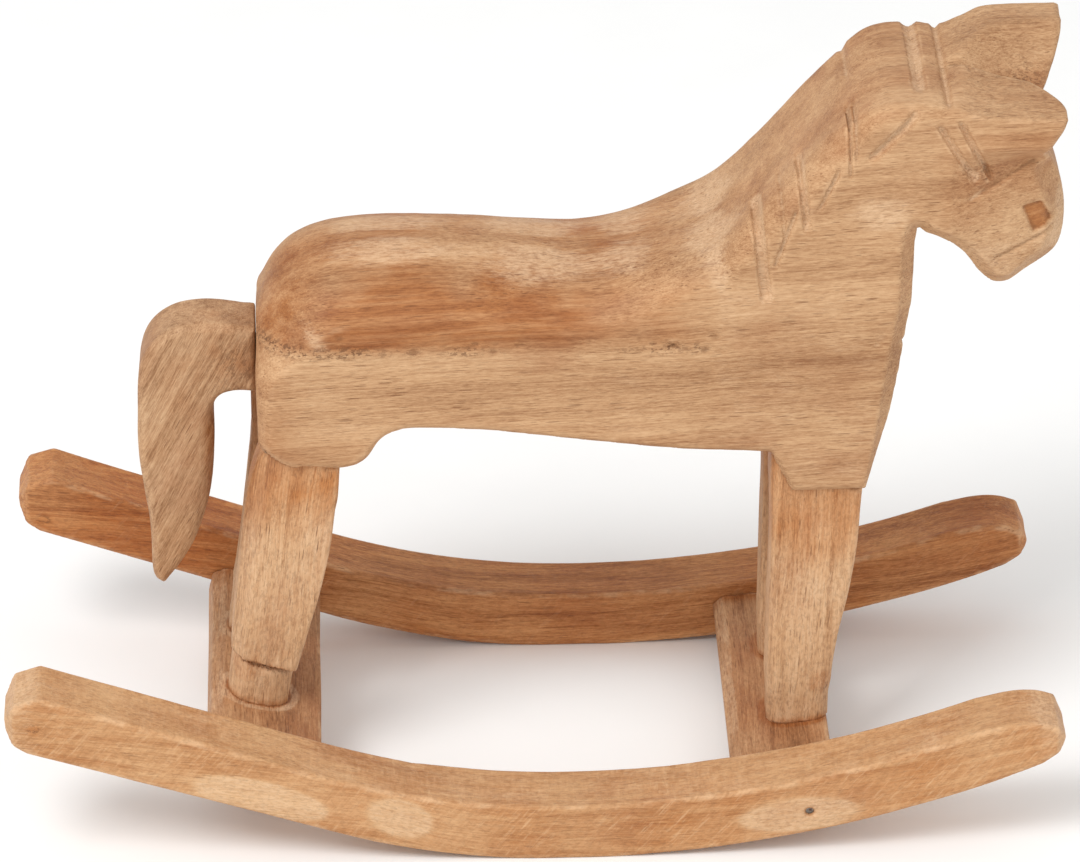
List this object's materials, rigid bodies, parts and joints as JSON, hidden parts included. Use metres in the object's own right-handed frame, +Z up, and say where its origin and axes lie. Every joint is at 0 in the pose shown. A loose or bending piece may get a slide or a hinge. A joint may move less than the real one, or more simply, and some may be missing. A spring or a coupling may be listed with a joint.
{
  "type": "wooden rocking horse",
  "caption": "Small carved wooden rocking horse: plank body with carved mane and bridle lines, separate tail and legs, two cross boards on curved runners.",
  "frame": {"origin": "on the floor, in the middle of the length and width of the whole horse", "axes": "+X towards the horse's head, +Y to its left side, +Z up"},
  "size_m": [0.3072, 0.138, 0.2278],
  "materials": {
    "body_wood": "planed and sanded, no varnish",
    "tail_wood": "rasped, no varnish",
    "leg_wood": "planed, no varnish",
    "runner_wood": "sawn and sanded, no varnish",
    "board_wood": "planed, weathered",
    "dowel_wood": "turned",
    "steel": "plain wire and screw steel"
  },
  "bodies": {
    "root": {"body_block": "body_wood", "front_board": "board_wood", "front_left_board_nails": "steel", "front_left_foot_screw": "steel", "front_left_leg": "leg_wood", "front_left_leg_dowel": "dowel_wood", "front_right_board_nails": "steel", "front_right_foot_screw": "steel", "front_right_leg": "leg_wood", "front_right_leg_dowel": "dowel_wood", "left_runner": "runner_wood", "rear_board": "board_wood", "rear_left_board_nails": "steel", "rear_left_foot_screw": "steel", "rear_left_leg": "leg_wood", "rear_left_leg_dowel": "dowel_wood", "rear_right_board_nails": "steel", "rear_right_foot_screw": "steel", "rear_right_leg": "leg_wood", "rear_right_leg_dowel": "dowel_wood", "right_runner": "runner_wood", "tail": "tail_wood", "tail_dowel": "dowel_wood"}
  },
  "joints": []
}
